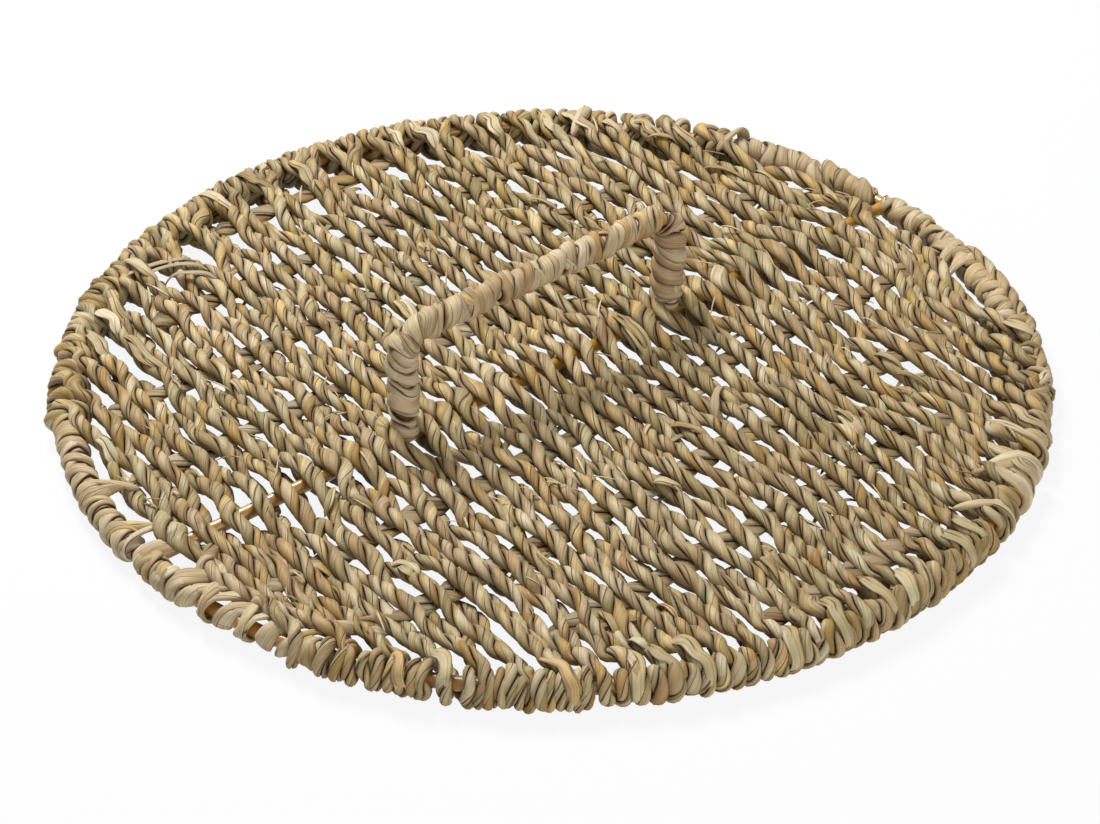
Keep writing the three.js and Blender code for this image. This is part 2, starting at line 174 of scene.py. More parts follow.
def seagrass(name, light, blush, blade_mm):
    """Seagrass: dried flat blades, folded and twisted by hand. Each blade has its own tone from straw to
    olive and brown. A thin dark line is painted as shade in the seam where two blades meet, and deep
    folds are painted nearly black as shade. light scales the colours, and below 1 it darkens a whole
    material as painted shade; blush is how far the blades turn from olive to rose beige, blade_mm how
    broad they are."""
    kept = bpy.context.scene.lid_colours
    material, tree, shader = new_material(name)
    lay = add(tree, "UVMap", out="UV", uv_map=UV_MAP)
    tone = add(tree, "Attribute", out="Fac", attribute_name="tone")
    # depth is 1 on a strand's open face and lower towards its folds and edges, where the colour is painted
    # darker as shade
    depth = add(tree, "Attribute", out="Fac", attribute_name="depth")
    multiply = {"data_type": "RGBA", "blend_type": "MULTIPLY"}

    def grain(across_mm, along_mm):
        """The scale at which a pattern's unit is so many millimetres across the strand and along it."""
        return (1 / (across_mm * MAP_CM), 1 / (along_mm * MAP_CM), 1)

    def fibres(across_mm, along_mm, detail):
        """Streaks of about so many millimetres across and along the strand."""
        vector = add(tree, "Mapping", {"Vector": lay, "Scale": grain(across_mm, along_mm)}, "Vector")
        return add(tree, "TexNoise", {"Vector": vector, "Scale": 1.0, "Detail": detail}, "Fac",
                   noise_dimensions="2D")

    # Which blade: a wavy row across the strand, and a length of blade that begins at a place of its own
    blades = add(tree, "Mapping", {"Vector": lay, "Scale": grain(blade_mm, BLADE_LENGTH)}, "Vector")
    place = add(tree, "SeparateXYZ", {"Vector": blades})
    row = add(tree, "Math", {0: fibres(5.0, 24, 1.0), 1: 1.4, 2: place["X"]}, 0, operation="MULTIPLY_ADD")
    first = add(tree, "Math", {0: row}, 0, operation="FLOOR")
    begins = add(tree, "TexWhiteNoise", {"W": first}, "Value", noise_dimensions="1D")
    along = add(tree, "Math", {0: place["Y"], 1: begins}, 0, operation="ADD")
    second = add(tree, "Math", {0: along}, 0, operation="FLOOR")
    which = add(tree, "CombineXYZ", {"X": first, "Y": second}, "Vector")
    chance = add(tree, "TexWhiteNoise", {"Vector": which}, "Color", noise_dimensions="2D")
    blade = add(tree, "SeparateColor", {"Color": chance})
    streak = fibres(0.5, 14, 2.0)
    blotch = fibres(3.0, 7.0, 3.0)
    patches = fibres(2.5, 16, 0.0)

    # Its colour: how ripe it is, its cast of olive or rose, a golden tint, and pale and dark streaks
    ripeness = add(tree, "Math", {0: blade["Red"], 1: 0.40, 2: tone}, 0, operation="MULTIPLY_ADD")
    ripeness = add(tree, "Math", {0: blotch, 1: 0.25, 2: ripeness}, 0, operation="MULTIPLY_ADD")
    body = add(tree, "ValToRGB", {"Fac": ripeness}, "Color",
               [(0.20, kept.brown), (0.36, kept.tan), (0.54, kept.straw), (0.74, kept.pale)])
    own = add(tree, "ObjectInfo", out="Random")
    own = add(tree, "Math", {0: own, 1: 0.4, 2: blush - 0.2}, 0, operation="MULTIPLY_ADD")
    hue = add(tree, "Math", {0: blade["Green"], 1: own}, 0, operation="ADD")
    cast = add(tree, "ValToRGB", {"Fac": hue}, "Color",
               [(0.10, kept.olive), (0.45, kept.straw), (0.80, kept.straw), (1.0, kept.rose)])
    tint = add(tree, "ValToRGB", {"Fac": blade["Blue"]}, "Color",
               [(0.04 * (1 - blush), kept.golden), (0.42 - 0.5 * blush, kept.fresh)])
    fleck = add(tree, "ValToRGB", {"Fac": streak}, "Color",
                [(0.26, grey(0.66)), (0.47, grey(1.0)), (0.75, grey(1.14))])
    grass = add(tree, "Mix", {"Factor": 0.42, "A": body, "B": cast}, "Result", data_type="RGBA")
    for shade in (tint, fleck):
        grass = add(tree, "Mix", {"Factor": 1.0, "A": grass, "B": shade}, "Result", **multiply)

    # Painted shade: the dark line in the seam between two blades, broken here and there, and the dark fold
    # between two plies
    middle = add(tree, "Math", {0: row, 1: 0.5}, 0, operation="PINGPONG")
    line = add(tree, "MapRange", {"Value": middle, "From Min": 0.06 / blade_mm, "From Max": 0.22 / blade_mm,
                                  "To Min": 0.95, "To Max": 0.0}, "Result")
    fade = add(tree, "MapRange", {"Value": patches, "From Min": 0.38, "From Max": 0.54}, "Result")
    line = add(tree, "Math", {0: line, 1: fade}, 0, operation="MULTIPLY")
    fold = add(tree, "MapRange", {"Value": depth, "From Min": 0.57, "From Max": 0.98,
                                  "To Min": 1.0, "To Max": 0.0}, "Result")
    crease_shade = add(tree, "Math", {0: line, 1: fold}, 0, operation="MAXIMUM")
    grass = add(tree, "Mix", {"Factor": crease_shade, "A": grass, "B": kept.crease_shade}, "Result", data_type="RGBA")
    grass = add(tree, "Mix", {"Factor": 1.0, "A": grass, "B": grey(light)}, "Result", **multiply)
    rough = add(tree, "MapRange", {"Value": streak, "From Min": 0.3, "From Max": 0.7,
                                   "To Min": 0.68, "To Max": 0.46}, "Result")
    height = add(tree, "Math", {0: line, 1: -1.2, 2: streak}, 0, operation="MULTIPLY_ADD")
    bump = add(tree, "Bump", {"Height": height, "Strength": 0.6, "Distance": 0.2 * MM}, "Normal")
    for socket, value in (("Base Color", grass), ("Roughness", rough), ("Normal", bump)):
        tree.links.new(value, shader.inputs[socket])
    shader.inputs["IOR"].default_value = 1.45
    shader.inputs["Specular IOR Level"].default_value = 0.28
    return material


def lacquered_steel():
    """Mild steel wire dipped in ochre lacquer: glossy, a little uneven, darker where it ran thick."""
    kept = bpy.context.scene.lid_colours
    material, tree, shader = new_material("ochre_lacquer_on_steel_wire")
    place = add(tree, "TexCoord", out="Object")
    runs = add(tree, "TexNoise", {"Vector": place, "Scale": 1 / (9 * MM), "Detail": 3.0}, "Fac")
    tint = add(tree, "ValToRGB", {"Fac": runs}, "Color", [(0.34, kept.lacquer_deep), (0.58, kept.lacquer)])
    peel = add(tree, "TexNoise", {"Vector": place, "Scale": 1 / (1.6 * MM), "Detail": 1.0}, "Fac")
    bump = add(tree, "Bump", {"Height": peel, "Strength": 0.25, "Distance": 0.1 * MM}, "Normal")
    tree.links.new(tint, shader.inputs["Base Color"])
    tree.links.new(bump, shader.inputs["Normal"])
    for socket, value in (("Roughness", 0.34), ("IOR", 1.5), ("Coat Weight", 0.4), ("Coat Roughness", 0.15)):
        shader.inputs[socket].default_value = value
    return material


def mesh_of(name, bm):
    """The mesh of a finished bmesh."""
    mesh = bpy.data.meshes.new(name)
    bm.to_mesh(mesh)
    bm.free()
    return mesh


def finish_piece(name, mesh, material, solid):
    """Put a finished mesh in the scene as a piece that stands for a solid."""
    mesh.materials.append(material)
    mesh.polygons.foreach_set("use_smooth", np.ones(len(mesh.polygons), bool))
    piece = bpy.data.objects.new(name, mesh)
    bpy.context.scene.collection.objects.link(piece)
    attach(piece, "root")
    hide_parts(solid)


def roll_up(name, strands):
    """A mesh of strands. Each strand is a grid rolled up round its path: a dictionary with its points
    (rings by sides by three, in millimetres, the last side on the first), lay, tone and depth, where a
    low depth paints the colour darker as shade."""
    bm = bmesh.new()
    for strand in strands:
        rings, sides = strand["points"].shape[:2]
        bmesh.ops.create_grid(bm, x_segments=sides - 1, y_segments=rings - 1, size=1)
    mesh = mesh_of(name, bm)
    points = np.concatenate([strand["points"].reshape(-1, 3) for strand in strands]) * MM
    mesh.vertices.foreach_set("co", points.ravel())
    corner = np.empty(len(mesh.loops), np.int32)
    mesh.loops.foreach_get("vertex_index", corner)
    lay = np.concatenate([strand["lay"].reshape(-1, 2) for strand in strands])[corner]
    mesh.uv_layers.new(name=UV_MAP).data.foreach_set("uv", lay.ravel())
    for key in ("tone", "depth"):
        values = np.concatenate([strand[key].ravel() for strand in strands])
        mesh.attributes.new(key, "FLOAT", "POINT").data.foreach_set("value", values)
    bm = bmesh.new()
    bm.from_mesh(mesh)
    bmesh.ops.remove_doubles(bm, verts=bm.verts, dist=1e-7)
    bmesh.ops.holes_fill(bm, edges=[edge for edge in bm.edges if edge.is_boundary], sides=0)
    bmesh.ops.recalc_face_normals(bm, faces=bm.faces)
    bm.to_mesh(mesh)
    bm.free()
    return mesh


def waves(rng, wavelength):
    """A smooth random function along a strand, about -1 to 1, with bumps about this far apart."""
    lengths = wavelength * rng.uniform(0.6, 1.9, 4)
    phases = rng.uniform(0, 2 * math.pi, 4)
    return lambda s: sum(np.sin(2 * math.pi * s / span + phase) for span, phase in zip(lengths, phases)) / 2


def unit(vectors):
    """Vectors made one long."""
    return vectors / np.linalg.norm(vectors, axis=-1, keepdims=True)


def distances(points):
    """How far along a path its points lie."""
    return np.concatenate([[0], np.cumsum(np.linalg.norm(np.diff(points, axis=0), axis=1))])


def sampled(at, s, vectors):
    """Vectors that are given at distances s, at other distances."""
    return np.stack([np.interp(at, s, vectors[:, k]) for k in range(3)], 1)


def smooth(low, high, value):
    """0 below low, 1 above high and an even rise between."""
    t = np.clip((value - low) / (high - low), 0, 1)
    return t * t * (3 - 2 * t)


class Weave:
    """Where the cords run, in millimetres, from the same sizes as the solids."""
    step = 1.25             # along a cord, between rings
    leg_room = 17           # length of cord over which a pass is pushed aside by a handle leg
    leg_push = 2.3          # how far it is pushed
    solid_radius = 2.1      # of a cord's solid
    strand_reach = 5.4      # of the solid of a strand on the hoop, from the wire's middle
    drift_span = 95         # between drifts of the rows to one side
    drift_size = 0.95       # how far they drift
    glimpses = (-153, -126)         # places along the bar of the gaps in the close wraps
    partings = (58.75, 96.35)       # places along the bar where two near wraps draw apart

    def __init__(self):
        for key, value in sizes().items():
            setattr(self, key, value)
        self.slope = math.tan(self.lean)
        self.landing = self.hoop_radius - self.wrap_lift / math.cos(math.radians(30)) - self.solid_radius
        rng = np.random.default_rng(41)
        self.drift = [(rng.normal(0, 1, 2) * 2 * math.pi / self.drift_span, rng.uniform(0, 2 * math.pi),
                       rng.uniform(-1, 1)) for _ in range(7)]
        self.gathers = rng.uniform((1.8, 0.1), (3.0, 0.4), (self.cord_pairs, 2))     # far side, near side

    def row_y(self, offset, radius, side):
        """Where a row meets a circle round the middle."""
        squared = 1 + self.slope ** 2
        root = np.sqrt(squared * radius ** 2 - offset ** 2)
        return (side * root - offset * self.slope) / squared

    def bow(self, offset, y):
        """How far an outer row bows towards the bare side of the hoop."""
        outer = -self.first_pass if offset < 0 else -self.first_pass - self.pass_pitch
        gap = self.left_gap if offset < 0 else self.right_gap
        along = np.abs(y + offset * self.slope) / math.sqrt(self.landing ** 2 - outer ** 2)
        most = self.hoop_radius - self.strand_reach - gap - self.solid_radius - outer
        share = (abs(offset) / outer) ** 4 * np.cos(np.minimum(along, 1) * math.pi / 2) ** 2
        return math.copysign(most, offset) * share

    def cross_half(self, line):
        """Half the length of a cross cord."""
        y = abs(line) * self.cross_spacing
        clear = (self.landing - 4) ** 2 - (y + 3) ** 2
        room = self.landing ** 2 - (y + 20) ** 2
        return math.sqrt(clear if line % 2 == 0 else min(clear, room))

    def last_line(self, offset, side):
        """The last cross cord that a pair of passes meets on one side."""
        last = 0
        for line in range(1, 2 * self.cross_pairs + 1):
            shift = side * line * self.cross_spacing * self.slope
            nearer = min(abs(offset + shift), abs(offset + self.pass_pitch + shift))
            if nearer < self.cross_half(line) + 2.4:
                last = line
        return last

    def pass_run(self, offset, pair_offset, over):
        """Points and normals of one pass from the hoop's near side to its far side."""
        first, last = -self.last_line(pair_offset, -1), self.last_line(pair_offset, 1)
        stations = [(self.row_y(offset, self.hoop_radius, -1), over * self.wrap_lift),
                    (self.row_y(offset, self.landing, -1), over * self.wrap_lift)]
        for line in range(first, last + 1):
            lift = self.wrap_lift if line == 0 else self.cross_lift
            stations.append((line * self.cross_spacing, over * lift * (1 if line % 2 == 0 else -1)))
        stations += [(self.row_y(offset, self.landing, 1), over * self.wrap_lift),
                     (self.row_y(offset, self.hoop_radius, 1), over * self.wrap_lift)]
        at, lifts = np.array(stations).T
        y = np.arange(at[0], at[-1], 0.6)
        i = np.clip(np.searchsorted(at, y, side="right") - 1, 0, len(at) - 2)
        t = (y - at[i]) / (at[i + 1] - at[i])
        z = lifts[i] + (lifts[i + 1] - lifts[i]) * (0.5 - 0.5 * np.cos(math.pi * t))
        x = offset + y * self.slope + self.bow(offset, y)
        for leg in (self.left_leg, self.right_leg):
            if over > 0 and abs(offset - leg) < self.pass_pitch + 1:
                push = math.copysign(self.leg_push, offset - leg)
                x += push * (0.5 + 0.5 * np.cos(math.pi * np.clip(y / self.leg_room, -1, 1)))
        normals = np.tile([0, 0, float(over)], (len(y), 1))
        return np.stack([x, y, z], 1), normals

    def wrap_run(self, begin, end, side, shift):
        """Points and normals of a wrap round the hoop. begin and end are degrees, 0 outside and 90 on top;
        shift holds the offsets that it moves between and the two angles where it does."""
        degrees = np.arange(begin, end, math.copysign(7, end - begin))
        angle = np.radians(degrees)
        first, second, leaves, lands = shift
        offset = first + (second - first) * smooth(0, 1, (degrees - leaves) / (lands - leaves))
        y = self.row_y(offset, self.hoop_radius, side)
        outward = unit(np.stack([offset + y * self.slope, y, 0 * y], 1))
        normals = np.cos(angle)[:, None] * outward + np.sin(angle)[:, None] * np.array([0, 0, 1])
        return outward * self.hoop_radius + self.wrap_lift * normals, normals

    def hairpin(self, pair):
        """The middle line of a long cord, with its normals, distances, and how far it lies on the hoop."""
        out = self.first_pass + 2 * pair * self.pass_pitch
        back = out + self.pass_pitch
        over, under = self.pass_run(out, out, 1), self.pass_run(back, out, -1)
        # Towards the bare sides a cord winds once more round the hoop, but not where the wire shows
        more = 360 if abs(out) > 90 else 0
        near = 360 if out < -90 and all(abs(out - place) > self.pass_pitch for place in self.glimpses) else 0
        aside = self.pass_pitch / 720 * near
        runs = [self.wrap_run(-100 - near, 90, -1, (out - aside, out, -101 - near, 0)), over,
                self.wrap_run(90, -450 - more, 1, (out, back, -60, -300 - more)),
                (under[0][::-1], under[1][::-1]),
                self.wrap_run(-90, 140 + near, -1, (back, back - aside, 0, 141 + near))]
        points = np.concatenate([run[0] for run in runs])
        normals = np.concatenate([run[1] for run in runs])
        s = distances(points)
        even = np.linspace(0, s[-1], int(s[-1] / self.step) + 1)
        points, normals = sampled(even, s, points), sampled(even, s, normals)
        for run in 3 * [points, normals]:
            run[1:-1] += 0.25 * (run[2:] + run[:-2] - 2 * run[1:-1])
        inside = self.hoop_radius - np.hypot(points[:, 0], points[:, 1])
        # Rows drift to one side, but not near the hoop or the handle's legs
        held = smooth(6, 40, inside)
        for leg in (self.left_leg, self.right_leg):
            held = held * smooth(6, 30, np.hypot(points[:, 0] - leg, points[:, 1]))
        points[:, 0] += self.drifted(points) * held
        # Just inside the hoop every two cords draw together, and they lie lower
        drawn = smooth(5, 12, inside) * (1 - smooth(18, 50, inside)) * (1 - (out / self.hoop_radius) ** 2)
        points[:, 0] += (1 - 2 * (pair % 2)) * np.where(points[:, 1] > 0, *self.gathers[pair // 2]) * drawn
        pressed = smooth(7, 17, inside) * (1 - smooth(26, 40, inside))
        points[:, 2] *= 1 - np.where(points[:, 1] > 0, 0.25, 0.6) * pressed
        # On the hoop's near side some wraps part
        on_hoop = 1 - smooth(7, 14, inside)
        for place in self.partings:
            away = (out + back) / 2 - place
            turn = math.copysign(2.4, away) / self.hoop_radius * math.exp(-(away / 11) ** 2)
            aside = np.stack([-points[:, 1], points[:, 0]], 1)
            points[:, :2] += turn * (on_hoop * (points[:, 1] < 0))[:, None] * aside
        return points, normals, even, on_hoop

    def drifted(self, points):
        """How far neighbouring rows wander to one side together."""
        shift = 0
        for wave, phase, size in self.drift:
            shift = shift + size * np.sin(points[:, :2] @ wave + phase)
        return self.drift_size * shift


def frames(points, normals):
    """The direction of a path, its normal square to it, and the third direction."""
    along = unit(np.gradient(points, axis=0))
    normal = unit(normals - along * np.sum(normals * along, axis=1, keepdims=True))
    return along, normal, np.cross(along, normal)


def twist(points, normals, s, rng, radius, squeeze, floor_at, pitch, number):
    """The two plies of a twisted cord, each a half moon that meets the other in two creases. squeeze is the
    cord's breadth across and along its normal at each ring."""
    # A ply's section: its round outer side, and its inner side close to the cord's middle
    outer = np.radians(np.arange(0, 181, 22.5))
    inner = np.radians([225, 270, 315, 360])
    around = np.concatenate([outer, inner])
    lobe = np.concatenate([0.50 + 0.50 * np.sin(outer) ** 0.7, 0.50 + 0.40 * np.sin(inner)])
    normal, across = frames(points, normals)[1:]
    turn = 2 * math.pi / pitch * np.cumsum(np.gradient(s) * (1 + 0.16 * waves(rng, 70)(s)))
    turn += rng.uniform(0, 2 * math.pi)
    ends = 0.35 + 0.65 * smooth(0, 4, np.minimum(s, s[-1] - s))
    girth = radius * ends * (1 + 0.12 * waves(rng, 48)(s))
    creases = [turn + half * math.pi + 0.22 * waves(rng, 24)(s) for half in (0.5, 1.5)]
    strands = []
    for k in range(2):
        begin, end = creases[k], creases[1 - k] + 2 * math.pi * k
        angle = ((begin + end) / 2)[:, None] + ((end - begin) / 2 - 0.06)[:, None] * np.cos(around)
        bulge = girth * (1 + 0.07 * waves(rng, 17)(s))
        fold = 1 + 0.03 * np.cos(5 * around + 2.5 * waves(rng, 26)(s)[:, None])
        reach = bulge[:, None] * lobe * fold
        lift = reach * np.cos(angle) * squeeze[1][:, None]
        breadth = reach * np.sin(angle) * squeeze[0][:, None]
        skin = points[:, None] + lift[..., None] * normal[:, None] + breadth[..., None] * across[:, None]
        skin[..., 2] = np.maximum(skin[..., 2] + floor_at, 0)
        skin[:, -1] = skin[:, 0]
        lay = np.stack([np.broadcast_to((1 - np.cos(around / 2)) * 2.6 * radius * MAP_CM, reach.shape)
                        + 1.7 * (2 * number + k), np.broadcast_to(s[:, None] * MAP_CM, reach.shape)], -1)
        tone = 0.05 + 0.10 * rng.uniform(-1, 1) + 0.10 * waves(rng, 24)(s)[:, None] + 0 * reach
        # Painted shade: depth falls from 1 on a ply's outer side towards the creases and the cord's core,
        # which the material darkens
        depth = np.broadcast_to(lobe, reach.shape).copy()
        strands.append({"points": skin, "lay": lay, "depth": depth, "tone": tone})
    return strands


def strip(points, normals, width, thickness, tone, number):
    """A loose blade: a flat strip along a path, drawn out to a point at both ends."""
    around = np.linspace(0, 2 * math.pi, 9)
    normal, across = frames(points, normals)[1:]
    t = np.linspace(0, 1, len(points))
    ends = 0.12 + 0.88 * np.sqrt(np.clip(np.minimum(t, 1 - t) * 4, 0, 1))
    breadth = width / 2 * (ends * (1 + 0.16 * np.sin(8 * t + number)))[:, None]
    skin = points[:, None] + (breadth * np.cos(around))[..., None] * across[:, None]
    skin = skin + (thickness / 2 * np.sin(around))[:, None] * normal[:, None]
    skin[..., 2] = np.maximum(skin[..., 2], 0)
    skin[:, -1] = skin[:, 0]
    s = distances(points)[:, None]
    lay = np.stack(np.broadcast_arrays(breadth * np.cos(around) * MAP_CM + 2.9 * number, s * MAP_CM), -1)
    whole = np.ones(skin.shape[:2])
    return {"points": skin, "lay": lay, "depth": whole, "tone": tone * whole}


def fibres_on(points, normals, rng, places, lift):
    """Short fibre ends that stand off a cord at these rings."""
    along, normal, across = frames(points, normals)
    t = np.linspace(0, 1, 9)[:, None]
    strips = []
    for i in places:
        way = rng.choice([-1, 1]) * along[i] + rng.uniform(-0.7, 0.7) * across[i]
        span = rng.uniform(4, 11)
        rise = rng.uniform(0.05, 0.3) * span
        path = points[i] + span * t * way + rng.uniform(-3, 3) * t ** 2 * across[i]
        path = path + (lift + rise * np.sin(2.4 * t)) * normal[i]
        strips.append(strip(path, np.tile(normal[i], (len(t), 1)), rng.uniform(0.4, 1.0), 0.3,
                            rng.uniform(0.1, 0.3), i))
    return strips


def bridges(points, normals, rng, places, lift):
    """Blades that leave a cord at these rings and lie across to the next one."""
    along, normal, across = frames(points, normals)
    t = np.linspace(0, 1, 15)[:, None]
    strips = []
    for i in places:
        way = rng.choice([-1, 1]) * rng.uniform(9, 18) * along[i] + rng.uniform(-9, 9) * across[i]
        path = points[i] + (t - 0.5) * way + (lift + 0.7 - 3.2 * np.abs(2 * t - 1) ** 3) * normal[i]
        facing = normal[i] + rng.uniform(-0.3, 0.3) * across[i]
        strips.append(strip(path, np.tile(facing, (len(t), 1)), rng.uniform(1.8, 3.6), 0.5,
                            rng.uniform(0, 0.25), i))
    return strips


def splice(points, normals, rng, middle, span, breadth, count, lift, tone, slant=0.9):
    """Broad blade ends laid flat along a cord where a new strand begins, up to slant aside at their ends."""
    normal, across = frames(points, normals)[1:]
    strips = []
    for k in range(count):
        begin = middle - int(span * rng.uniform(0.4, 0.6))
        part = slice(begin, begin + int(span * rng.uniform(0.75, 1.1)))
        t = 2 * np.linspace(0, 1, len(points[part]))[:, None] - 1
        aside = breadth * ((k + 0.5) / count - 0.5) * (1 - 0.8 * t ** 2) + rng.uniform(-slant, slant) * t
        path = points[part] + aside * across[part]
        path = path + (lift + 0.25 * (k % 3) - 2.5 * np.abs(t) ** 4) * normal[part]
        facing = normals[part] + 0.25 * (k / count - 0.5) * across[part]
        shade = tone + rng.uniform(-0.06, 0.06)
        strips.append(strip(path, facing, 1.3 * breadth / count, 0.5, shade, 40 * k + middle))
    return strips


class LID_OT_wire_frame(bpy.types.Operator):
    """Make the hoop, the bar and the handle of lacquered wire"""
    bl_idname = "lid.wire_frame"
    bl_label = "Wire frame"

    def execute(self, context):
        kept = context.scene.lid_sizes
        lacquer = lacquered_steel()
        radius = kept.wire_diameter / 2

        bm = bmesh.new()
        ring = bmesh.ops.create_circle(bm, segments=16, radius=radius)["verts"]
        bmesh.ops.rotate(bm, verts=ring, matrix=Matrix.Rotation(math.pi / 2, 3, "X"), cent=(0, 0, 0))
        bmesh.ops.translate(bm, verts=ring, vec=(kept.hoop_radius, 0, kept.mid_height))
        bmesh.ops.spin(bm, geom=bm.verts[:] + bm.edges[:], cent=(0, 0, kept.mid_height), axis=(0, 0, 1),
                       angle=2 * math.pi, steps=160, use_merge=True)
        bmesh.ops.recalc_face_normals(bm, faces=bm.faces)
        finish_piece("hoop_wire", mesh_of("hoop_wire", bm), lacquer, "rim_hoop")

        low, high = (Vector(corner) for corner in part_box("cross_bar"))
        bm = bmesh.new()
        bmesh.ops.create_cone(bm, cap_ends=True, segments=16, radius1=radius, radius2=radius,
                              depth=high.x - low.x)
        bmesh.ops.rotate(bm, verts=bm.verts, matrix=Matrix.Rotation(math.pi / 2, 3, "Y"), cent=(0, 0, 0))
        bmesh.ops.translate(bm, verts=bm.verts, vec=(low + high) / 2)
        ends = [edge for edge in bm.edges if abs(edge.verts[0].co.x - edge.verts[1].co.x) < radius / 10]
        bmesh.ops.bevel(bm, geom=ends, offset=radius * 0.2, offset_type="OFFSET", affect="EDGES", segments=2,
                        profile=0.5, material=-1)
        finish_piece("bar_wire", mesh_of("bar_wire", bm), lacquer, "cross_bar")

        points, normals, s = handle_path()
        normal, across = frames(points, normals)[1:]
        around = np.linspace(0, 2 * math.pi, 17)[:, None]
        r = radius / MM
        tube = points[:, None] + r * (np.cos(around) * normal[:, None] + np.sin(around) * across[:, None])
        tube[:, -1] = tube[:, 0]
        lay = np.stack(np.broadcast_arrays(around[:, 0] * r * MAP_CM, s[:, None] * MAP_CM), -1)
        flat = np.ones(tube.shape[:2])
        rod = roll_up("handle_wire", [{"points": tube, "lay": lay, "tone": flat, "depth": flat}])
        finish_piece("handle_wire", rod, lacquer, "handle_rod")
        return {"FINISHED"}


def handle_path():
    """The middle of the handle's wire from foot to foot, its normals along Y, and distances."""
    z = sizes()
    foot = z["mid_height"] + z["wire_diameter"] / 2 + FOOT_GAP
    top = z["mid_height"] + z["handle_rise"]
    bend, left, right = z["handle_bend"], z["left_leg"], z["right_leg"]
    rise = np.arange(foot, top - bend, 1.0)
    turn = np.linspace(0, math.pi / 2, 14)
    up = np.concatenate([0 * rise, bend - bend * np.cos(turn)])
    height = np.concatenate([rise, top - bend + bend * np.sin(turn)])
    run = np.arange(left + bend + 1, right - bend, 1.0)
    x = np.concatenate([left + up, run, right - up[::-1]])
    points = np.stack([x, 0 * x, np.concatenate([height, 0 * run + top, height[::-1]])], 1)
    return points, np.tile([0.0, 1.0, 0.0], (len(points), 1)), distances(points)


class LID_OT_long_cords(bpy.types.Operator):
    """Make the long cords: two plies each, woven over and under and wound round the hoop"""
    bl_idname = "lid.long_cords"
    bl_label = "Long cords"

    # Splices: place, length and breadth in millimetres, number of blades, and how pale they are
    splices = [(29, -9, 28, 6, 5, 0.0), (-38, -11, 46, 8, 3, 0.12), (56, -96, 16, 5, 1, 0.34),
               (18, 112, 14, 9, 4, -0.1), (-20, 60, 16, 5, 2, 0.25), (95, 40, 18, 5, 2, 0.12),
               (-110, -60, 16, 5, 2, 0.22), (-117, 96, 30, 5, 2, 0.0)]
    windows = [(-152, -100), (-20, 30), (88, 98)]       # where the bar shows between the cords over it

    def execute(self, context):
        weave = Weave()
        grass = seagrass("twisted_seagrass_cord", light=1.04, blush=0.0, blade_mm=2.7)
        for pair in range(weave.cord_pairs):
            rng = np.random.default_rng(100 + pair)
            points, normals, s, on_hoop = weave.hairpin(pair)
            # Laid by hand, the rows and the wraps are a little uneven
            loose = 1 - on_hoop
            points[:, 0] += 0.95 * waves(rng, 30)(s) * loose + 0.7 * waves(rng, 15)(s) * on_hoop
            points[:, 2] += 0.35 * waves(rng, 33)(s) * loose
            points[:, :2] *= 1 + 0.004 * (waves(rng, 12)(s) * on_hoop)[:, None]
            # Broader where it comes up and broadest over the bar, but not where the bar shows
            level = np.clip(np.abs(points[:, 2]) / weave.cross_lift, 0, 1)
            offset = weave.first_pass + 2 * pair * weave.pass_pitch
            seen = any(low < offset < high for low, high in self.windows)
            beside_leg = min(abs(offset - weave.left_leg), abs(offset - weave.right_leg)) < 8
            spread = rng.uniform(0, 0.25) if seen or beside_leg else rng.uniform(0.45, 0.75)
            on_bar = spread * np.exp(-(points[:, 1] / 6) ** 2) * (points[:, 2] > 0)
            close = 0.76 if offset < -90 else 0.96      # narrower where the wraps lie close
            across = (0.86 + 0.16 * level + on_bar) * loose
            across = across + np.where(points[:, 1] > 0, 0.96, close) * on_hoop
            squeeze = (across, (0.95 - 0.12 * level) * loose + 0.85 * on_hoop)
            pitch = weave.twist_pitch * rng.uniform(0.88, 1.12)
            # Thicker towards the bare sides
            fuller = weave.cord_radius * (1 + 0.1 * (2 * pair / (weave.cord_pairs - 1) - 1) ** 4)
            strands = twist(points, normals, s, rng, fuller, squeeze, weave.mid_height, pitch, pair)
            raised = points + [0, 0, weave.mid_height]
            upper = np.flatnonzero((normals[:, 2] > 0.5) & (on_hoop < 0.1))
            strands += fibres_on(raised, normals, rng, rng.choice(upper, 4), fuller)
            strands += bridges(raised, normals, rng, rng.choice(upper, rng.integers(0, 3)), fuller)
            for side in (-1, 1):
                top = np.flatnonzero((on_hoop > 0.5) & (normals[:, 2] > 0.9) & (side * points[:, 1] > 0))[3]
                if rng.random() < 0.55:
                    strands += splice(raised, normals, rng, top, rng.uniform(14, 24), rng.uniform(2.4, 4), 1,
                                      fuller - 0.3, rng.uniform(0.0, 0.3), 2.5)
            for x, y, span, breadth, count, tone in self.splices:
                nearest = np.argmin(np.hypot(points[:, 0] - x, points[:, 1] - y) + 50 * (normals[:, 2] < 0.5))
                if abs(points[nearest, 0] - x) < weave.pass_pitch and abs(points[nearest, 1] - y) < 2:
                    strands += splice(raised, normals, rng, nearest, span / weave.step, breadth, count,
                                      fuller, tone)
            name = f"long_cord_{pair + 1:02d}"
            finish_piece("twisted_" + name, roll_up("twisted_" + name, strands), grass, name)
        return {"FINISHED"}


def stray(x, y, span, degrees, width, height, bow, tone, number):
    """A single blade across the rows, its ends tucked down between them."""
    t = np.linspace(-1, 1, 17)
    way = math.radians(degrees)
    along, aside = span / 2 * t, bow * (1 - t ** 2)
    path = np.stack([x + along * math.cos(way) - aside * math.sin(way),
                     y + along * math.sin(way) + aside * math.cos(way), height - 0.5 * height * t ** 4], 1)
    return strip(path, np.tile([0.0, 0.1, 1.0], (len(t), 1)), width, 0.6, tone, number)


